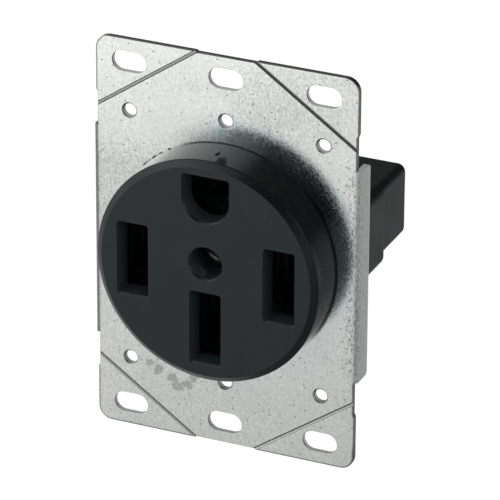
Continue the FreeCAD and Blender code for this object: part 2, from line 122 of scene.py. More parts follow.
def ramp(tree, factor, low, high, out_low=0.0, out_high=1.0, smooth=True):
    """Maps low..high to out_low..out_high, held at both ends."""
    made = tree.nodes.new("ShaderNodeMapRange")
    made.clamp = True
    made.interpolation_type = "SMOOTHSTEP" if smooth else "LINEAR"
    plug(tree, made, "Value", factor)
    for key, value in (("From Min", low), ("From Max", high), ("To Min", out_low), ("To Max", out_high)):
        plug(tree, made, key, value)
    return made.outputs["Result"]


def blend_colour(tree, factor, first, second, mode="MIX"):
    """Mixes two colours."""
    made = tree.nodes.new("ShaderNodeMix")
    made.data_type = "RGBA"
    made.blend_type = mode
    plug(tree, made, "Factor", factor)
    plug(tree, made, 6, first)
    plug(tree, made, 7, second)
    return made.outputs[2]


def coat(tree, colour, mask, strength, tone):
    """Lays a coat of another colour over a colour, as thick as a mask and a strength make it."""
    return blend_colour(tree, times(tree, mask, strength), colour, tone)


def noise(tree, place, scale, detail=3.0, rough=0.5, stretch=(1, 1, 1), shift=(0, 0, 0), turn=(0, 0, 0)):
    """Noise at a number of cells per millimetre, stretched, turned and shifted."""
    if (stretch, shift, turn) != ((1, 1, 1), (0, 0, 0), (0, 0, 0)):
        place = add(tree, "ShaderNodeMapping", Vector=place, Scale=stretch, Rotation=turn,
                    Location=shift).outputs["Vector"]
    made = add(tree, "ShaderNodeTexNoise", Vector=place, Scale=scale, Detail=detail, Roughness=rough)
    return made.outputs["Fac"]


def axis_part(tree, place, axis):
    """One coordinate of a place or a normal."""
    return add(tree, "ShaderNodeSeparateXYZ", Vector=place).outputs[axis]


def away_from(tree, place, centre):
    """Distance in millimetres from a point."""
    made = add(tree, "ShaderNodeVectorMath", {"operation": "DISTANCE"})
    plug(tree, made, 0, place)
    plug(tree, made, 1, centre)
    return made.outputs["Value"]


def slant(tree, first, second):
    """Length of the slanting line that two distances at right angles span."""
    corner = add(tree, "ShaderNodeCombineXYZ", X=first, Y=second).outputs[0]
    return add(tree, "ShaderNodeVectorMath", {"operation": "LENGTH"}, Vector=corner).outputs["Value"]


def face_normal(tree):
    """Which way the face itself looks, with no rounding or bump."""
    return add(tree, "ShaderNodeNewGeometry").outputs["True Normal"]


def new_group(name, inputs, outputs):
    """An empty node group with named sockets; returns the group, its input and output nodes."""
    kinds = {"vector": "NodeSocketVector", "value": "NodeSocketFloat"}
    group = bpy.data.node_groups.new(name, "ShaderNodeTree")
    for title, kind, start in inputs:
        socket = group.interface.new_socket(name=title, in_out="INPUT", socket_type=kinds[kind])
        if start is not None:
            socket.default_value = start
    for title, kind in outputs:
        group.interface.new_socket(name=title, in_out="OUTPUT", socket_type=kinds[kind])
    return group, group.nodes.new("NodeGroupInput"), group.nodes.new("NodeGroupOutput")


def use_group(tree, group, **inputs):
    """Places a shared group in a material."""
    made = tree.nodes.new("ShaderNodeGroup")
    made.node_tree = group
    for key, value in inputs.items():
        plug(tree, made, key.replace("_", " "), value)
    return made.outputs


# Shared effects

NOISE_RANGE = (0.3, 0.7)      # where most of a noise's values lie
SCRATCH_TURNS = ((0.35, 3.0), (-0.6, 11.0), (1.25, 23.0))      # slant in radians, then a shift
EDGE_RADIUS = 0.16            # how far the light rounds a sharp edge, in millimetres
WORN_WIDTH = 0.22             # how far the wear reaches in from it


def make_millimetres():
    """Object coordinates in millimetres, so that patterns read as on a drawing."""
    group, _, out = new_group("millimetres", [], [("Place", "vector")])
    place = add(group, "ShaderNodeTexCoord").outputs["Object"]
    scaled = add(group, "ShaderNodeVectorMath", {"operation": "SCALE"}, Scale=1 / MM)
    group.links.new(place, scaled.inputs[0])
    group.links.new(scaled.outputs[0], out.inputs["Place"])
    return group


def make_fine_grain():
    """Fine two-scale mottling with a few long faint scratches."""
    group, given, out = new_group(
        "fine grain",
        [("Place", "vector", None), ("Grain", "value", 3.0), ("Scratches", "value", 0.5)],
        [("Tone", "value"), ("Height", "value"), ("Scratch", "value")])
    place = given.outputs["Place"]
    small = noise(group, place, given.outputs["Grain"], rough=0.6)
    broad = noise(group, place, 0.16, detail=2.0)
    tone = total(group, times(group, small, 0.55), times(group, broad, 0.45))
    lines = []
    for slope, seed in SCRATCH_TURNS:
        line = noise(group, place, 1.0, detail=1.0, rough=0.4, stretch=(2.2, 2.2, 0.07),
                     shift=(seed, seed, seed), turn=(0.2, slope, 0.1))
        lines.append(ramp(group, line, 0.71, 0.76))
    scratch = times(group, highest(group, *lines), given.outputs["Scratches"])
    group.links.new(tone, out.inputs["Tone"])
    group.links.new(maths(group, "SUBTRACT", small, scratch), out.inputs["Height"])
    group.links.new(scratch, out.inputs["Scratch"])
    return group


def make_specks():
    """Scattered small specks, as many as Share of the cells."""
    group, given, out = new_group(
        "specks", [("Place", "vector", None), ("Cells", "value", 0.6), ("Share", "value", 0.3),
                   ("Size", "value", 0.12)], [("Mask", "value")])
    cells = add(group, "ShaderNodeTexVoronoi", Vector=given.outputs["Place"],
                Scale=given.outputs["Cells"])
    chance = add(group, "ShaderNodeSeparateColor", Color=cells.outputs["Color"])
    chosen = maths(group, "LESS_THAN", chance.outputs[0], given.outputs["Share"])
    size = times(group, given.outputs["Size"], chance.outputs[1])
    spot = maths(group, "SUBTRACT", 1.0, maths(group, "DIVIDE", cells.outputs["Distance"], size),
                 clamp=True)
    firm = maths(group, "MULTIPLY", spot, 3.0, clamp=True)
    group.links.new(times(group, firm, chosen), out.inputs["Mask"])
    return group


def make_settled_dust():
    """Thin dust that lies where a surface faces up."""
    group, given, out = new_group(
        "settled dust", [("Place", "vector", None), ("Amount", "value", 0.3)], [("Mask", "value")])
    up = axis_part(group, add(group, "ShaderNodeNewGeometry").outputs["Normal"], "Z")
    patch = noise(group, given.outputs["Place"], 0.8, detail=5.0, rough=0.7)
    dust = times(group, ramp(group, up, 0.3, 1.0), ramp(group, patch, 0.35, 0.75),
                 given.outputs["Amount"])
    group.links.new(dust, out.inputs["Mask"])
    return group


def make_worn_edge():
    """A mask of the sharp edges, and the normal rounded over them."""
    group, given, out = new_group(
        "worn edge", [("Place", "vector", None), ("Wear", "value", 1.0)],
        [("Mask", "value"), ("Normal", "vector")])
    rounded, wide = (add(group, "ShaderNodeBevel", {"samples": 4}, Radius=radius * MM).outputs["Normal"]
                     for radius in (EDGE_RADIUS, WORN_WIDTH))
    dot = add(group, "ShaderNodeVectorMath", {"operation": "DOT_PRODUCT"})
    group.links.new(wide, dot.inputs[0])
    group.links.new(face_normal(group), dot.inputs[1])
    turned = ramp(group, dot.outputs["Value"], 0.99, 0.8)
    patch = noise(group, given.outputs["Place"], 0.9, detail=4.0, rough=0.65)
    worn = times(group, turned, ramp(group, patch, *NOISE_RANGE, 0.25, 1.0), given.outputs["Wear"])
    group.links.new(worn, out.inputs["Mask"])
    group.links.new(rounded, out.inputs["Normal"])
    return group


MILLIMETRES = make_millimetres()
FINE_GRAIN = make_fine_grain()
SPECKS = make_specks()
SETTLED_DUST = make_settled_dust()
WORN_EDGE = make_worn_edge()


# Finishes

def new_finish(name, **sockets):
    """A material with one plain shader; sockets are its uniform values."""
    material = bpy.data.materials.new(name)
    material.use_nodes = True
    tree = material.node_tree
    shader = next(n for n in tree.nodes if n.type == "BSDF_PRINCIPLED")
    for key, value in sockets.items():
        shader.inputs[key.replace("_", " ")].default_value = value
    place = use_group(tree, MILLIMETRES)["Place"]
    return material, tree, shader, place


def grey(value, warm=0.0):
    """A near-neutral colour; warm leans it to yellow."""
    return (value * (1 + warm), value, value * (1 - 1.6 * warm), 1.0)


def scaled_colour(colour, amount, lift=0.0):
    """A colour made lighter or darker, no brighter than white."""
    return tuple(min(1.0, part * amount + lift) for part in colour) + (1,)


def finish_bump(tree, shader, height, normal, strength, depth):
    """Feeds a height to the shader's normal, over the rounded edges."""
    bump = add(tree, "ShaderNodeBump", Strength=strength, Distance=depth * MM, Height=height,
               Normal=normal)
    tree.links.new(bump.outputs["Normal"], shader.inputs["Normal"])


# Galvanised sheet. Places are in millimetres, and a pair of them is the span over which a mask goes
# from none to full.

FLANGE_HALF_HEIGHT = 25.4
FLANGE_ENDS = (FLANGE_HALF_HEIGHT + 0.2, FLANGE_HALF_HEIGHT + 0.1)
FLANGE_SIDE = (30.0, 30.3)
BEND_SIDE = (29.9, 30.9)
TAB_HALF_WIDTH = 31.05
TAB_CORNER = 3.2
SCORE_LINE = ((7.0, HALF_HEIGHT), (30.7, 30.5))     # one quarter's score line, from foot to waist
SCORE_HALF_WIDTH = (0.62, 0.5)
# painted shade: a dark line along the rim, at the bottom and the left side
SHADED_RIM_Z = (-40.0, -43.0)                       # the rim is dark along the bottom
SHADED_RIM_X = (-29.0, -30.0)                       # and along the left side

# How a face looks, as parts of its normal: facing along Y, upward along Z
CUT_FACING = (0.5, 0.2)
BEND_FACING = (0.1, 0.25)
SLOPE_FACING = ((0.4, 0.6), (0.985, 0.96))          # a pressed slope looks forwards, not squarely
UNDERSIDE = (-0.15, -0.4)
UP_FACE, ROLLED_FACE, SILL_FACE = (0.6, 0.85), (0.5, 0.85), (0.45, 0.85)

# painted highlight: the last of the flange towards its rear edge
REAR_EDGE_Y = (FLANGE_REAR - 0.4, FLANGE_REAR - 0.15)
ROLLED_Y = (SHEET_FRONT + 0.8, SHEET_FRONT + 0.4)   # an edge is rolled over towards the front
TORN_Y = (SHEET_FRONT + 0.35, SHEET_FRONT + 0.5)    # and a hole's wall is torn behind this
TORN_SIDE, TORN_RISE = (30.0, 29.8), (46.2, 46.0)   # which keeps the tearing off the outline
HOLE_GAP = (0.8, 1.2)                               # holes lie this far inside the outline
RIM_WIDTH = (0.52, 0.26)

# Finger marks below the cover, each an X, a Z and a radius
SMUDGES = ((-17.6, -30.3, 0.9), (-15.9, -31.5, 1.0), (-13.0, -32.9, 1.1), (-11.3, -34.6, 1.1),
           (-9.4, -33.9, 0.9), (-7.6, -32.5, 0.9))
SMUDGE_WOBBLE = 1.3
STREAK_CUT, PATCH_CUT, PATCH_SHARE = (0.53, 0.64), (0.46, 0.58), 0.5
STREAK_CENTRE = (12.0, SHEET_FRONT, 38.0)
STREAK_REACH = (12.0, 4.0)
TICK_CUT = (0.53, 0.6)
TICKS_X, TICKS_Z = (27.4, 30.2), (30.0, 20.0)
DENTS_Y = (1.8, 0.4)
DULL_X, DULL_Z = (4.0, -5.0), (18.0, 26.0)

# Painted contact shade where the cover meets the sheet: dashes at the upper left, a line at the top, a
# broader shade at the lower right
CONTACT_SHADE_RADIUS = COVER_RADIUS + 0.08
CONTACT_SHADE_Z = (10.0, 20.0)
CONTACT_SHADE_WOBBLE = 0.22
DASH_WIDTH, DASHES_X = (0.24, 0.06), (-9.0, -11.0)
LINE_WIDTH, LINE_SHARE = (0.2, 0.07), 0.8
LINE_START_X, LINE_END_X = (-11.5, -7.5), (14.0, 8.0)
SHADE_RADIUS = (COVER_RADIUS + 0.6, COVER_RADIUS + 0.2)
SHADE_X, SHADE_Z, SHADE_SHARE = (17.0, 22.0), (-20.0, -13.0), 0.85

# Painted reflection: the ring beside the cover where the sheet mirrors its cool black, tinted on the front
# face alone
COOL_RADIUS = (COVER_RADIUS + 9.0, COVER_RADIUS + 2.0)
COOL_X, COOL_Z, COOL_LOW_SHARE = (-9.0, 1.0), (-16.0, 6.0), 0.2
COOL_Y = (SHEET_FRONT + 0.7, SHEET_FRONT + 0.3)
PAINTED_REFLECTION_TINT = (0.87, 0.985, 1.02, 1)
HAZE_Z, HAZE_SHARE = (17.0, 27.0), 0.03

SPANGLE_TONES = ((0.6, 0.62, 0.6, 1), (0.83, 0.845, 0.815, 1))
MOTTLE_TONES = ((0.6, 0.63, 0.61, 1), (0.9, 0.94, 0.91, 1))
DRAWN_TONES = ((0.5, 0.54, 0.52, 1), (0.67, 0.715, 0.69, 1))

# Coats on the sheet: how strong each is, then its colour
FINE_COAT = (0.4, (0.58, 0.6, 0.59, 1))
CLOUD_COAT = (0.4, (0.62, 0.64, 0.63, 1))
STREAK_COAT = (0.62, grey(0.34))
FINE_SPECK_COAT = (0.35, grey(0.42))
SPECK_COAT = (0.75, grey(0.13))
TICK_COAT = (0.8, grey(0.12))
SMUDGE_COAT = (0.66, (0.27, 0.3, 0.28, 1))
# painted contact shade round the cover
CONTACT_SHADE_COAT = (1.0, grey(0.05))
DENT_COAT = (0.45, grey(0.2))
# painted highlight along the flange's rear edge
REAR_EDGE_HIGHLIGHT_COAT = (1.0, grey(1.0))
# painted light: the upward-facing cut faces of the flanges and of the holes' sills, near white
LIT_CAP_COAT = (1.0, grey(0.9))
LIT_SILL_COAT = (1.0, grey(0.95))
# torn rear part of the holes' walls: the fractured steel's own paler grey, raised near white as painted
# light
TORN_AND_LIT_COAT = (1.0, grey(0.92))
PRESSED_COAT = (0.7, grey(0.38))
# painted shade on the pressed slopes that face down
SHADED_UNDERSIDE_COAT = (1.0, grey(0.1))
# painted shade along the rim
SHADED_RIM_COAT = (0.75, grey(0.16))
SHEARED_GREY = grey(0.2)
SHEARED_SHARE, ROLLED_SHARE = 0.85, 0.4             # how strongly it covers a cut and a rolled edge
DRAWN_SHARE, MOTTLE_SHARE = 0.75, 0.8

# The pressed score lines, with painted light and shade on their walls: from the inside across to the
# corner's side, where one painted tone gives way to the next, and the tones. Two lines rise to the right,
# at the upper left and lower right, and two fall.
RISING_TURN, RISING_END = (-0.2, -0.08), (0.26, 0.34)
RISING_LIT_AND_SHADED_GREYS = (grey(0.14), grey(0.85), grey(0.2))
FALLING_TURN, FALLING_LIT_GREY = (0.02, 0.16), grey(0.75)
# painted shade on the falling lines' inner walls, darker towards the top
INNER_Z, INNER_SHADED_GREYS = (-25.0, 25.0), (grey(0.22), grey(0.11))

# How much of the metal's mirror is lost where a face is plain, and what roughness is added
PLAIN_LOSS = 0.8
SPANGLE_ROUGH = (0.25, 0.75, 0.12, 0.24)
MARK_ROUGH, CUT_ROUGH, DULL_ROUGH = 0.12, 0.28, 0.13
FINE_HEIGHT, SPECK_PIT = 0.3, 0.8                   # relief, as shares of the spangle's


def sheet_places(tree, place):
    """A spot's coordinates, its distances from the middle lines, and which way its face looks."""
    x, y, z = (axis_part(tree, place, axis) for axis in "XYZ")
    normal = face_normal(tree)
    upward = axis_part(tree, normal, "Z")
    return SimpleNamespace(place=place, x=x, y=y, z=z, side=size_of(tree, x), rise=size_of(tree, z),
                           across=slant(tree, x, z), upward=upward, level=size_of(tree, upward),
                           facing=size_of(tree, axis_part(tree, normal, "Y")))


def score_distance(tree, at):
    """Signed distance from the nearest score line, positive towards the corner."""
    (x0, z0), (x1, z1) = SCORE_LINE
    length = math.hypot(x1 - x0, z1 - z0)
    return total(tree, times(tree, maths(tree, "SUBTRACT", at.side, x0), (z0 - z1) / length),
                 times(tree, maths(tree, "SUBTRACT", at.rise, z0), (x1 - x0) / length))


def outline_distance(tree, at):
    """Distance inside the strap's rounded outline."""
    across = maths(tree, "SUBTRACT", at.side, TAB_HALF_WIDTH - TAB_CORNER)
    upward = maths(tree, "SUBTRACT", at.rise, HALF_HEIGHT - TAB_CORNER)
    length = slant(tree, highest(tree, across, 0.0), highest(tree, upward, 0.0))
    inside = maths(tree, "MINIMUM", highest(tree, across, upward), 0.0)
    return maths(tree, "SUBTRACT", TAB_CORNER, total(tree, length, inside))


def sheet_faces(tree, at):
    """Masks of the strap's faces: side flanges and bends, cut and torn walls, pressed lines, rims, and
    where light and shade are painted: the flange's rear-edge highlight, lit upward cut faces and torn
    walls, shaded slope undersides and the shaded rim.
    """
    flange_ends = ramp(tree, at.rise, *FLANGE_ENDS)
    flange = times(tree, ramp(tree, at.side, *FLANGE_SIDE), flange_ends)
    apart = maths(tree, "SUBTRACT", 1.0, flange)
    sheared = highest(tree, times(tree, ramp(tree, at.facing, *CUT_FACING), apart),
                      ramp(tree, at.level, *UP_FACE))
    pressed = times(tree, *(ramp(tree, at.facing, *span) for span in SLOPE_FACING), apart)
    score_gap = score_distance(tree, at)
    rim_gap = outline_distance(tree, at)
    return SimpleNamespace(
        flange=flange, sheared=sheared, pressed=pressed, score_gap=score_gap,
        bend=times(tree, ramp(tree, at.side, *BEND_SIDE), flange_ends, ramp(tree, at.facing, *BEND_FACING)),
        rear_edge_highlight=times(tree, flange, ramp(tree, at.y, *REAR_EDGE_Y)),
        painted_lit_cap=times(tree, flange, ramp(tree, at.upward, *UP_FACE)),
        torn_and_lit_wall=times(tree, sheared, ramp(tree, at.y, *TORN_Y), ramp(tree, at.side, *TORN_SIDE),
                   ramp(tree, at.rise, *TORN_RISE)),
        rolled=times(tree, ramp(tree, at.upward, *ROLLED_FACE), ramp(tree, at.y, *ROLLED_Y)),
        painted_lit_sill=times(tree, sheared, ramp(tree, at.upward, *SILL_FACE), ramp(tree, rim_gap, *HOLE_GAP)),
        score=times(tree, ramp(tree, size_of(tree, score_gap), *SCORE_HALF_WIDTH), pressed),
        shaded_underside=times(tree, pressed, ramp(tree, at.upward, *UNDERSIDE)),
        shaded_rim=times(tree, ramp(tree, rim_gap, *RIM_WIDTH),
                  highest(tree, ramp(tree, at.z, *SHADED_RIM_Z), ramp(tree, at.x, *SHADED_RIM_X))))


def rolling_streaks(tree, at):
    """Upright streaks from rolling, in patches and at the upper right."""
    streak = noise(tree, at.place, 1.0, rough=0.6, stretch=(4.0, 4.0, 0.5))
    patches = ramp(tree, noise(tree, at.place, 0.1, detail=2.0, shift=(31, 8, 12)), *PATCH_CUT)
    upper_right = ramp(tree, away_from(tree, at.place, STREAK_CENTRE), *STREAK_REACH)
    return times(tree, ramp(tree, streak, *STREAK_CUT),
                 highest(tree, times(tree, patches, PATCH_SHARE), upper_right))


def bend_ticks(tree, at):
    """Short dark ticks where the sheet was drawn round its right-hand bend."""
    ticks = noise(tree, at.place, 1.5, rough=0.65, stretch=(1.7, 1.7, 0.9), shift=(5, 2, 8))
    return times(tree, ramp(tree, ticks, *TICK_CUT), ramp(tree, at.x, *TICKS_X),
                 ramp(tree, at.rise, *TICKS_Z))


def smudge_mask(tree, at):
    """Soft finger marks with ragged edges."""
    ragged = noise(tree, at.place, 0.55, rough=0.6, shift=(2, 9, 4))
    wobble = ramp(tree, ragged, *NOISE_RANGE, -SMUDGE_WOBBLE, SMUDGE_WOBBLE, smooth=False)
    spots = []
    for x, z, radius in SMUDGES:
        gap = total(tree, away_from(tree, at.place, (x, SHEET_FRONT, z)), wobble)
        spots.append(ramp(tree, gap, radius + 0.5, radius - 0.4))
    return highest(tree, *spots)


def painted_contact_shade(tree, at):
    """Painted shade where the cover meets the sheet: a dark contact line, and a broader shade at the lower
    right.
    """
    gap = size_of(tree, maths(tree, "SUBTRACT", at.across, CONTACT_SHADE_RADIUS))
    wavy = total(tree, gap, ramp(tree, noise(tree, at.place, 0.5), 0.42, 0.58, 0.0, CONTACT_SHADE_WOBBLE))
    dashes = times(tree, ramp(tree, wavy, *DASH_WIDTH), ramp(tree, at.x, *DASHES_X))
    line = times(tree, ramp(tree, gap, *LINE_WIDTH), ramp(tree, at.x, *LINE_START_X),
                 ramp(tree, at.x, *LINE_END_X, 0.0, LINE_SHARE))
    seam = times(tree, total(tree, dashes, line), ramp(tree, at.z, *CONTACT_SHADE_Z))
    shade = times(tree, ramp(tree, at.across, *SHADE_RADIUS), ramp(tree, at.x, *SHADE_X),
                  ramp(tree, at.z, *SHADE_Z), SHADE_SHARE)
    return highest(tree, seam, shade)


def sheet_marks(tree, at):
    """Masks of what lies on the sheet: streaks, specks, ticks and smudges, with the painted contact shade
    round the cover and the painted cool reflection beside it.
    """
    return SimpleNamespace(
        streaks=rolling_streaks(tree, at), ticks=bend_ticks(tree, at),
        smudge=smudge_mask(tree, at), seam=painted_contact_shade(tree, at),
        fine_specks=use_group(tree, SPECKS, Place=at.place, Cells=1.6, Share=0.7, Size=0.3)["Mask"],
        specks=use_group(tree, SPECKS, Place=at.place, Cells=0.8, Share=0.8, Size=0.19)["Mask"],
        painted_reflection=times(tree, ramp(tree, at.across, *COOL_RADIUS), ramp(tree, at.x, *COOL_X),
                   ramp(tree, at.z, *COOL_Z, COOL_LOW_SHARE, 1.0), ramp(tree, at.y, *COOL_Y)))


def front_colour(tree, at, marks, spangle, fine):
    """Colour of the zinc's crystals under its marks, the painted contact shade round the cover and the
    painted cool reflection beside it.
    """
    cloud = noise(tree, at.place, 0.13, detail=4.0, rough=0.6, shift=(7, 3, 5))
    colour = blend_colour(tree, ramp(tree, spangle, *NOISE_RANGE), *SPANGLE_TONES)
    for mask, layer in ((ramp(tree, fine, *NOISE_RANGE), FINE_COAT),
                        (ramp(tree, cloud, 0.35, 0.7), CLOUD_COAT),
                        (marks.streaks, STREAK_COAT),
                        (marks.fine_specks, FINE_SPECK_COAT),
                        (marks.specks, SPECK_COAT),
                        (marks.ticks, TICK_COAT),
                        (marks.smudge, SMUDGE_COAT),
                        # the last coat is the painted contact shade round the cover
                        (marks.seam, CONTACT_SHADE_COAT)):
        colour = coat(tree, colour, mask, *layer)
    # painted reflection of the cover's cool black, multiplied over the ring beside it
    return blend_colour(tree, marks.painted_reflection, colour, PAINTED_REFLECTION_TINT, "MULTIPLY")


def flange_colour(tree, at, faces, marks, colour):
    """Drawn streaks on the side flanges, a mottled bend, dents beside it and a painted highlight along the
    flange's rear edge.
    """
    drawn = noise(tree, at.place, 1.0, rough=0.6, stretch=(2.4, 2.4, 0.2), shift=(4, 4, 4))
    drawn = blend_colour(tree, ramp(tree, drawn, 0.35, 0.65), *DRAWN_TONES)
    wall = times(tree, faces.flange, ramp(tree, at.facing, *CUT_FACING))
    mottle = noise(tree, at.place, 2.0, detail=4.0, rough=0.7, stretch=(1, 1, 0.45), shift=(9, 1, 6))
    mottle = blend_colour(tree, ramp(tree, mottle, 0.4, 0.6), *MOTTLE_TONES)
    dents = times(tree, marks.ticks, faces.flange, ramp(tree, at.y, *DENTS_Y))
    for mask, layer in ((wall, (DRAWN_SHARE, drawn)), (faces.bend, (MOTTLE_SHARE, mottle)),
                        (dents, DENT_COAT), (faces.rear_edge_highlight, REAR_EDGE_HIGHLIGHT_COAT)):
        colour = coat(tree, colour, mask, *layer)
    return colour


def groove_light_and_shade(tree, at, score_gap):
    """Painted shade and highlight on the walls of the pressed score lines, by which way each line slants.
    """
    inside, middle, outside = RISING_LIT_AND_SHADED_GREYS
    rising = blend_colour(tree, ramp(tree, score_gap, *RISING_TURN), inside, middle)
    rising = blend_colour(tree, ramp(tree, score_gap, *RISING_END), rising, outside)
    inner = blend_colour(tree, ramp(tree, at.z, *INNER_Z), *INNER_SHADED_GREYS)
    falling = blend_colour(tree, ramp(tree, score_gap, *FALLING_TURN), inner, FALLING_LIT_GREY)
    quarter = ramp(tree, times(tree, at.x, at.z), -1.0, 1.0)
    return blend_colour(tree, quarter, rising, falling)


def edge_colour(tree, at, faces, colour):
    """Greys of the cut, torn and pressed faces over the sheet's own colour, with painted light on upward
    cut faces and torn walls, painted shade on the slopes' undersides and the rim, and painted light and
    shade in the score lines.
    """
    share = ramp(tree, faces.rolled, 0.0, 1.0, SHEARED_SHARE, ROLLED_SHARE)
    colour = coat(tree, colour, faces.sheared, share, SHEARED_GREY)
    for mask, layer in ((faces.painted_lit_cap, LIT_CAP_COAT), (faces.painted_lit_sill, LIT_SILL_COAT), (faces.torn_and_lit_wall, TORN_AND_LIT_COAT),
                        (faces.pressed, PRESSED_COAT), (faces.shaded_underside, SHADED_UNDERSIDE_COAT),
                        (faces.shaded_rim, SHADED_RIM_COAT)):
        colour = coat(tree, colour, mask, *layer)
    return blend_colour(tree, faces.score, colour, groove_light_and_shade(tree, at, faces.score_gap))


def sheet_metallic(tree, at, faces, marks):
    """Full metal on the rolled faces, less where a cut, a groove or the bend scatters the light."""
    plain = highest(tree, faces.torn_and_lit_wall, faces.score, faces.painted_lit_sill, faces.painted_lit_cap,
                    times(tree, faces.bend, MOTTLE_SHARE))
    haze = times(tree, marks.painted_reflection, ramp(tree, at.z, *HAZE_Z, 0.0, HAZE_SHARE))
    metal = maths(tree, "SUBTRACT", 1.0, times(tree, plain, PLAIN_LOSS))
    return maths(tree, "SUBTRACT", metal, haze)


def sheet_roughness(tree, at, faces, marks, spangle):
    """Gloss that follows the spangle, duller on marks and cut faces and at the upper left."""
    dull = times(tree, ramp(tree, at.x, *DULL_X), ramp(tree, at.z, *DULL_Z))
    return total(tree, ramp(tree, spangle, *SPANGLE_ROUGH),
                 times(tree, total(tree, marks.streaks, marks.smudge), MARK_ROUGH),
                 times(tree, highest(tree, faces.sheared, faces.pressed), CUT_ROUGH),
                 times(tree, dull, DULL_ROUGH))


def zinc_sheet():
    """Galvanised sheet: spangle, streaks, specks and smudges, with grey cut, pressed and bent faces, and
    painted light and shade on its edges, its score lines and round the cover.
    """
    material, tree, shader, place = new_finish("zinc sheet")
    at = sheet_places(tree, place)
    faces = sheet_faces(tree, at)
    marks = sheet_marks(tree, at)
    fine = noise(tree, place, 3.4, rough=0.7)
    spangle = noise(tree, place, 1.5, detail=4.0, rough=0.65, stretch=(1.1, 1.1, 0.85))
    colour = front_colour(tree, at, marks, spangle, fine)
    colour = flange_colour(tree, at, faces, marks, colour)
    colour = edge_colour(tree, at, faces, colour)
    tree.links.new(colour, shader.inputs["Base Color"])
    tree.links.new(sheet_metallic(tree, at, faces, marks), shader.inputs["Metallic"])
    tree.links.new(sheet_roughness(tree, at, faces, marks, spangle), shader.inputs["Roughness"])
    crystals = total(tree, spangle, times(tree, fine, FINE_HEIGHT))
    height = maths(tree, "SUBTRACT", crystals, times(tree, marks.specks, SPECK_PIT))
    rounded = use_group(tree, WORN_EDGE, Place=place)["Normal"]
    finish_bump(tree, shader, height, rounded, strength=0.5, depth=0.035)
    return material


# Black mouldings

BLACK_DARK, BLACK_LIGHT = (0.7, 0.96, 1.0), (0.94, 1.18, 1.22)    # tints of the flow shading
CHAMFER_ROUGH = 0.25                  # the least roughness of a chamfer
SQUARE_FACE = (0.97, 0.85)            # how squarely a flat face, a chamfer and a wall look along Y
CHAMFER_FACE = (0.3, 0.5)
WALL_FACE = (0.5, 0.3)
WALL_TURN = (0.2, 0.9, 0.75, 1.0)     # walls that look sideways are full, the others a little less
OPENINGS_CENTRE = (0, -12.0, 1.0)     # middle of the face's openings
OPENINGS_REACH = (24.5, 24.0)         # they all lie within this distance of it
# painted light on the walls of the face's openings
LIT_OPENING_WALL = (0.05, 0.062, 0.065, 1)
RING_HALF_WIDTH = (0.22, 0.05)
RING_DEPTH = 0.9
NICK = (0.6, -7.0, 26.3)              # on top of the cover's side
NICK_STRETCH = (1.6, 0.75, 1.0)       # it is longer from front to rear than across
NICK_EDGE = (1.5, 1.0)
NICK_DEPTH = 4.0
NICK_BLACK = grey(0.004)

# Rings that the knock-out pins left, each a centre and a radius
FACE_RINGS = (((12.7, COVER_FRONT, 14.1), 2.4), ((-12.0, COVER_FRONT, -14.6), 2.4))
HOUSING_RINGS = (((9.5, BRIDGE_REAR, -3.0), 1.6), ((-9.5, BRIDGE_REAR, -3.0), 1.6),
                 ((0, BRIDGE_REAR, -3.6), 1.3))


def black_colour(tree, place, grain, worn, tone):
    """Near-black with flow shading, pale scratches, specks and edges, and a little dust."""
    flow = noise(tree, place, 0.12, rough=0.55, stretch=(1, 1, 0.6), shift=(4, 13, 6))
    specks = use_group(tree, SPECKS, Place=place, Cells=0.5, Share=0.16, Size=0.12)["Mask"]
    dust = use_group(tree, SETTLED_DUST, Place=place, Amount=0.05)["Mask"]
    colour = blend_colour(tree, ramp(tree, flow, *NOISE_RANGE), scaled_colour(BLACK_DARK, tone),
                          scaled_colour(BLACK_LIGHT, tone))
    for mask, strength, layer in ((grain["Scratch"], 0.35, grey(tone * 2.6)),
                                  (specks, 0.5, grey(tone * 4.5)),
                                  (worn, 1.0, grey(tone * 2.8)),
                                  (dust, 1.0, grey(0.35, warm=0.05))):
        colour = coat(tree, colour, mask, strength, layer)
    return colour


def black_roughness(tree, grain, facing, flat_rough, side_rough):
    """Satin on the flat faces, another gloss on the sides, and never a mirror on the chamfers."""
    flat = ramp(tree, grain["Tone"], *NOISE_RANGE, flat_rough - 0.06, flat_rough + 0.08)
    side = ramp(tree, grain["Tone"], *NOISE_RANGE, side_rough - 0.03, side_rough + 0.05)
    side = ramp(tree, facing, *CHAMFER_FACE, side, max(side_rough, CHAMFER_ROUGH))
    return ramp(tree, ramp(tree, facing, *SQUARE_FACE), 0.0, 1.0, flat, side)


def lit_opening_walls(tree, place, normal, facing):
    """Mask of the painted light on the openings' walls, full on those that stand at the sides."""
    near = ramp(tree, away_from(tree, place, OPENINGS_CENTRE), *OPENINGS_REACH)
    sideways = size_of(tree, axis_part(tree, normal, "X"))
    return times(tree, ramp(tree, facing, *WALL_FACE), near, ramp(tree, sideways, *WALL_TURN))


def nick_mask(tree, place):
    """Mask of the torn nick on top of the cover's side."""
    drawn = add(tree, "ShaderNodeMapping", Vector=place, Scale=NICK_STRETCH).outputs["Vector"]
    centre = tuple(value * stretch for value, stretch in zip(NICK, NICK_STRETCH))
    ragged = total(tree, away_from(tree, drawn, centre), noise(tree, place, 1.6))
    return ramp(tree, ragged, *NICK_EDGE)


def ringed(tree, place, height, rings):
    """Presses the rings of the knock-out pins into a height."""
    for centre, radius in rings:
        gap = size_of(tree, maths(tree, "SUBTRACT", away_from(tree, place, centre), radius))
        dip = ramp(tree, gap, *RING_HALF_WIDTH, 0.0, RING_DEPTH)
        height = maths(tree, "SUBTRACT", height, dip)
    return height


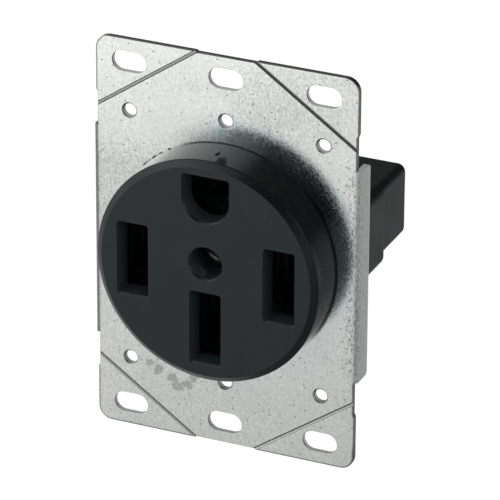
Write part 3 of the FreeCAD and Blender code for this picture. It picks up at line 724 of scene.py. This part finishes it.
def moulded_black(name, tone, flat_rough, side_rough, rings, is_face):
    """Black thermoset moulding; the face also has painted light on its openings' walls, and its nick."""
    material, tree, shader, place = new_finish(name, IOR=1.43, Specular_Tint=(0.88, 0.97, 1.0, 1))
    grain = use_group(tree, FINE_GRAIN, Place=place, Grain=4.5, Scratches=0.5)
    edge = use_group(tree, WORN_EDGE, Place=place, Wear=0.4)
    normal = face_normal(tree)
    facing = size_of(tree, axis_part(tree, normal, "Y"))
    colour = black_colour(tree, place, grain, edge["Mask"], tone)
    rough = black_roughness(tree, grain, facing, flat_rough, side_rough)
    height = ringed(tree, place, grain["Height"], rings)
    if is_face:
        lit_walls = lit_opening_walls(tree, place, normal, facing)
        nick = nick_mask(tree, place)
        colour = blend_colour(tree, lit_walls, colour, LIT_OPENING_WALL)
        colour = blend_colour(tree, nick, colour, NICK_BLACK)
        rough = highest(tree, rough, nick)
        height = maths(tree, "SUBTRACT", height, times(tree, nick, NICK_DEPTH))
    tree.links.new(colour, shader.inputs["Base Color"])
    tree.links.new(rough, shader.inputs["Roughness"])
    finish_bump(tree, shader, height, edge["Normal"], strength=0.35, depth=0.03)
    return material


# Metal of the contacts, lugs and screws

SHADED_DEPTH = (8.0, 13.0)            # the contacts' mouths are dark as far in as this
MOUTH_SHADE = (0.06, 0.12, 0.13, 1)


def strip_metal(name, colour, tarnish, roughness, tarnish_share=0.35, metallic=1.0, dark_mouth=False):
    """Rolled, drawn or turned metal: fine grain, scratches, bright worn edges, dull patches."""
    material, tree, shader, place = new_finish(name, Metallic=metallic)
    grain = use_group(tree, FINE_GRAIN, Place=place, Grain=2.5, Scratches=0.8)
    edge = use_group(tree, WORN_EDGE, Place=place, Wear=0.7)
    specks = use_group(tree, SPECKS, Place=place, Cells=0.9, Share=0.2, Size=0.2)["Mask"]
    dull = noise(tree, place, 0.35, detail=5.0, rough=0.65, shift=(3, 17, 9))
    dull = ramp(tree, dull, 0.42, 0.68, 0.0, tarnish_share)
    body = blend_colour(tree, ramp(tree, grain["Tone"], *NOISE_RANGE), scaled_colour(colour, 0.86),
                        scaled_colour(colour, 1.0))
    for mask, strength, layer in ((dull, 1.0, (*tarnish, 1)),
                                  (edge["Mask"], 1.0, scaled_colour(colour, 1.2, lift=0.05)),
                                  (specks, 0.4, (*tarnish, 1))):
        body = coat(tree, body, mask, strength, layer)
    if dark_mouth:
        shade = ramp(tree, axis_part(tree, place, "Y"), *SHADED_DEPTH, 0.97, 0.0)
        body = blend_colour(tree, shade, body, MOUTH_SHADE)
    tree.links.new(body, shader.inputs["Base Color"])
    rough = total(tree, ramp(tree, grain["Tone"], *NOISE_RANGE, roughness - 0.06, roughness + 0.08),
                  times(tree, dull, 0.3))
    tree.links.new(rough, shader.inputs["Roughness"])
    finish_bump(tree, shader, grain["Height"], edge["Normal"], strength=0.3, depth=0.02)
    return material


FACE_BLACK = moulded_black("face thermoset", tone=0.008, flat_rough=0.42, side_rough=0.09,
                           rings=FACE_RINGS, is_face=True)
HOUSING_BLACK = moulded_black("housing thermoset", tone=0.014, flat_rough=0.46, side_rough=0.42,
                              rings=HOUSING_RINGS, is_face=False)
ZINC = zinc_sheet()
PLATED = strip_metal("plated steel", (0.74, 0.73, 0.7), (0.4, 0.38, 0.33), roughness=0.26)
CONTACT_BRASS = strip_metal("contact brass", (0.83, 0.63, 0.33), (0.42, 0.28, 0.13), roughness=0.28,
                            dark_mouth=True)
LUG_BRASS = strip_metal("lug brass", (0.78, 0.59, 0.3), (0.36, 0.24, 0.12), roughness=0.34,
                        tarnish_share=0.5)
SPRING_STEEL = strip_metal("spring steel", (0.45, 0.45, 0.47), (0.16, 0.14, 0.13), roughness=0.3)
DARK_STEEL = strip_metal("dark steel", (0.3, 0.3, 0.3), (0.08, 0.08, 0.08), roughness=0.24)
BRASS_SCREW = strip_metal("brass screw", (0.85, 0.62, 0.28), (0.45, 0.29, 0.12), roughness=0.22)
NICKEL_SCREW = strip_metal("nickel screw", (0.8, 0.79, 0.76), (0.5, 0.48, 0.42), roughness=0.18,
                           tarnish_share=0.2)
GREEN_SCREW = strip_metal("green screw", (0.06, 0.32, 0.13), (0.03, 0.13, 0.06), roughness=0.3,
                          tarnish_share=0.4, metallic=0.6)

FINISH_OF = {"mounting_strap": ZINC, "face_cover": FACE_BLACK, "rear_housing": HOUSING_BLACK,
             "assembly_screw": DARK_STEEL, "assembly_nut": PLATED, "lock_washer": PLATED,
             "ground_bond_strip": CONTACT_BRASS, "neutral_clamp_screw": NICKEL_SCREW,
             "ground_clamp_screw": GREEN_SCREW}
FINISH_BY_KIND = {"contact": CONTACT_BRASS, "contact_spring": SPRING_STEEL, "lug": LUG_BRASS,
                  "pressure_plate": PLATED, "clamp_screw": BRASS_SCREW}


def dress(piece, material):
    """Gives a piece one finish."""
    piece.data.materials.clear()
    piece.data.materials.append(material)


def placed(name, shape):
    """An object in the scene from a finished bmesh."""
    mesh = bpy.data.meshes.new(name)
    shape.to_mesh(mesh)
    shape.free()
    piece = bpy.data.objects.new(name, mesh)
    bpy.context.scene.collection.objects.link(piece)
    return piece


def finish_for(name):
    """The finish of a node, its own or that of its kind."""
    kind = next((ending for ending in FINISH_BY_KIND if name.endswith(ending)), None)
    return FINISH_OF.get(name) or FINISH_BY_KIND[kind]


for name, piece in nodes.items():
    dress(piece, finish_for(name))


# Threads, which the CAD leaves plain

THREAD_PITCH = 0.65 * MM
THREAD_HEIGHT = 0.2 * MM      # how far the crest stands out of the screw
THREAD_ROOT = 0.1 * MM        # how far the root is sunk into it
THREAD_GAP = 0.1 * MM         # clear of the lug's end
THREAD_RELIEF = 0.5 * MM      # plain stretch at the screw's outer end
THREAD_RUN_OUT = 0.6          # turns that the thread's own width takes up
STEPS_PER_TURN = 28
ROOT_HALF, CREST_HALF = 0.42, 0.1     # half widths of the thread, as shares of the pitch
CLAMP_SCREWS = (("line_left", BRASS_SCREW, "brass_screw"), ("line_right", BRASS_SCREW, "brass_screw"),
                ("neutral", NICKEL_SCREW, "nickel_screw"), ("ground", GREEN_SCREW, "green_screw"))


def thread(name, centre, start, length, radius):
    """Raised screw thread round an axis along Y, as a loose piece."""
    shape = bmesh.new()
    turns = length / THREAD_PITCH - THREAD_RUN_OUT
    steps = int(STEPS_PER_TURN * turns)
    root, crest = radius - THREAD_ROOT, radius + THREAD_HEIGHT
    wide, narrow = ROOT_HALF * THREAD_PITCH, CREST_HALF * THREAD_PITCH
    corners = [shape.verts.new((centre.x + out, start + wide + along, centre.z))
               for out, along in ((root, -wide), (crest, -narrow), (crest, narrow), (root, wide))]
    profile = shape.faces.new(corners)
    bmesh.ops.spin(shape, geom=[profile] + list(profile.edges) + list(profile.verts),
                   cent=(centre.x, 0, centre.z), axis=(0, 1, 0), angle=2 * math.pi * turns,
                   dvec=(0, THREAD_PITCH * turns / steps, 0), steps=steps, use_merge=False,
                   use_duplicate=False)
    bmesh.ops.recalc_face_normals(shape, faces=shape.faces)
    return placed(name, shape)


for circuit, material, slot in CLAMP_SCREWS:
    screw_low, screw_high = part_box(circuit + "_clamp_screw")
    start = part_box(circuit + "_lug")[1].y + THREAD_GAP
    piece = thread(circuit + "_clamp_thread", (screw_low + screw_high) / 2, start,
                   screw_high.y - start - THREAD_RELIEF, (screw_high.x - screw_low.x) / 2)
    dress(piece, material)
    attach(piece, "root")


# Studio

FLOOR_LEVEL = -0.12           # metres below the part's middle, which hangs as in its wall box
FLOOR_HALF = 6.0
FLOOR_GREY = (0.25, 0.25, 0.25, 1)    # what the lamps light, which keeps a faint shadow
FLOOR_WHITE = 0.93            # what the camera sees on top of that

# Brightness of the floor where a reflection shows it. Spans are in millimetres from the part's middle.
NEAR_SPAN, NEAR_LIT, MIDDLE_LIT = (-145.0, -190.0), 0.65, 0.71
FRONT_SPAN = (-215.0, -275.0)
FRONT_TURN, FRONT_RIGHT_LIT, FRONT_LEFT_LIT = (-100.0, -130.0), 0.97, 0.56
RIGHT_SPAN, RIGHT_SHARE = (-30.0, 15.0), 0.25
BEHIND_SPAN, BEHIND_LIT = (20.0, 80.0), 0.37

# Brighter patches of the floor: the gain, then the spans along X and Y over which it sets in
LEFT_PATCH = (0.12, (-80.0, -105.0), (-250.0, -200.0))
CORNER_PATCH = (1.2, (-138.0, -166.0), (-310.0, -340.0))
FAR_PATCH = (0.6, (-300.0, -420.0), (-450.0, -650.0))

# Brightness of the world where a reflection shows it: the span along an axis, then both ends' values
WORLD_ACROSS = (0.0, -0.55, 0.06, 1.1)
WORLD_BEHIND = (0.6, 0.0, 0.2, 1.0)
WORLD_ABOVE = (0.6, 0.8, 1.0, 0.3)
WORLD_LIGHT = 0.35            # its strength as light on the part


def softbox(name, place, aim, size, power):
    """A rectangular area lamp aimed at a point."""
    lamp = bpy.data.lights.new(name, "AREA")
    lamp.shape = "RECTANGLE"
    lamp.size, lamp.size_y = size
    lamp.energy = power
    holder = bpy.data.objects.new(name, lamp)
    bpy.context.scene.collection.objects.link(holder)
    holder.location = place
    holder.rotation_euler = (Vector(aim) - Vector(place)).to_track_quat("-Z", "Y").to_euler()


def with_patch(tree, lit, x, y, gain, span_x, span_y):
    """Brightens one patch of the floor."""
    return total(tree, lit, times(tree, ramp(tree, x, *span_x), ramp(tree, y, *span_y), gain))


def floor_reflection(tree, place):
    """How bright each part of the floor is in a reflection."""
    x, y = (axis_part(tree, place, axis) for axis in "XY")
    lit = ramp(tree, y, *NEAR_SPAN, NEAR_LIT, MIDDLE_LIT)
    lit = with_patch(tree, lit, x, y, *LEFT_PATCH)
    front = ramp(tree, x, *FRONT_TURN, FRONT_RIGHT_LIT, FRONT_LEFT_LIT)
    lit = ramp(tree, y, *FRONT_SPAN, lit, front)
    for patch in (CORNER_PATCH, FAR_PATCH):
        lit = with_patch(tree, lit, x, y, *patch)
    lit = times(tree, lit, ramp(tree, x, *RIGHT_SPAN, 1.0, RIGHT_SHARE))
    return ramp(tree, y, *BEHIND_SPAN, lit, BEHIND_LIT)


def white_to_camera(tree, path, reflection):
    """White for the camera, and a given brightness in reflections."""
    direct = maths(tree, "ADD", path["Is Camera Ray"], path["Is Transmission Ray"], clamp=True)
    return highest(tree, direct, times(tree, path["Is Glossy Ray"], reflection))


def floor_white():
    """The floor's material: matt grey under the lamps, white to the camera."""
    material = bpy.data.materials.new("white floor")
    material.use_nodes = True
    tree = material.node_tree
    tree.nodes.clear()
    path = add(tree, "ShaderNodeLightPath").outputs
    lit = floor_reflection(tree, use_group(tree, MILLIMETRES)["Place"])
    matt = add(tree, "ShaderNodeBsdfDiffuse", Color=FLOOR_GREY)
    glow = add(tree, "ShaderNodeEmission", Color=grey(1.0),
               Strength=times(tree, white_to_camera(tree, path, lit), FLOOR_WHITE))
    both = add(tree, "ShaderNodeAddShader")
    tree.links.new(matt.outputs[0], both.inputs[0])
    tree.links.new(glow.outputs[0], both.inputs[1])
    end = add(tree, "ShaderNodeOutputMaterial")
    tree.links.new(both.outputs[0], end.inputs["Surface"])
    return material


def make_floor():
    """Plain white floor below the part."""
    shape = bmesh.new()
    bmesh.ops.create_grid(shape, x_segments=1, y_segments=1, size=FLOOR_HALF)
    bmesh.ops.translate(shape, verts=shape.verts, vec=(0, 0, FLOOR_LEVEL))
    floor = placed("floor", shape)
    dress(floor, floor_white())


def light_world():
    """White behind the part for the camera, brighter to the left in reflections, a soft grey light."""
    world = bpy.data.worlds.new("studio")
    bpy.context.scene.world = world
    world.use_nodes = True
    tree = world.node_tree
    tree.nodes.clear()
    path = add(tree, "ShaderNodeLightPath").outputs
    towards = add(tree, "ShaderNodeTexCoord").outputs["Generated"]
    wrap = times(tree, *(ramp(tree, axis_part(tree, towards, axis), *span) for axis, span in
                         (("X", WORLD_ACROSS), ("Y", WORLD_BEHIND), ("Z", WORLD_ABOVE))))
    level = highest(tree, white_to_camera(tree, path, wrap),
                    times(tree, path["Is Diffuse Ray"], WORLD_LIGHT))
    back = add(tree, "ShaderNodeBackground", Color=grey(1.0), Strength=level)
    end = add(tree, "ShaderNodeOutputWorld")
    tree.links.new(back.outputs[0], end.inputs["Surface"])


def place_camera():
    """The photograph's camera."""
    yaw, lift, roll = CAMERA_YAW, CAMERA_LIFT, CAMERA_ROLL
    back = Vector((math.sin(yaw) * math.cos(lift), -math.cos(yaw) * math.cos(lift), math.sin(lift)))
    level = Vector((math.cos(yaw), math.sin(yaw), 0))
    upward = back.cross(level)
    right = math.cos(roll) * level + math.sin(roll) * upward
    upward = math.cos(roll) * upward - math.sin(roll) * level
    view = bpy.data.cameras.new("photo camera")
    view.lens = CAMERA_LENS
    view.sensor_width = SENSOR
    view.clip_start, view.clip_end = CLIP_NEAR, CLIP_FAR
    holder = bpy.data.objects.new("photo camera", view)
    bpy.context.scene.collection.objects.link(holder)
    turn = Matrix((right, upward, back)).transposed().to_4x4()
    holder.matrix_world = Matrix.Translation(CAMERA_PLACE) @ turn
    bpy.context.scene.camera = holder


softbox("key softbox", place=(-0.58, -0.72, 0.6), aim=(0, 0, 0.01), size=(1.15, 1.3), power=3.0)
softbox("fill softbox", place=(0.85, -0.35, 0.25), aim=(0, 0, 0), size=(0.6, 0.6), power=1.2)
make_floor()
light_world()
place_camera()
bpy.context.scene.view_settings.view_transform = "Standard"
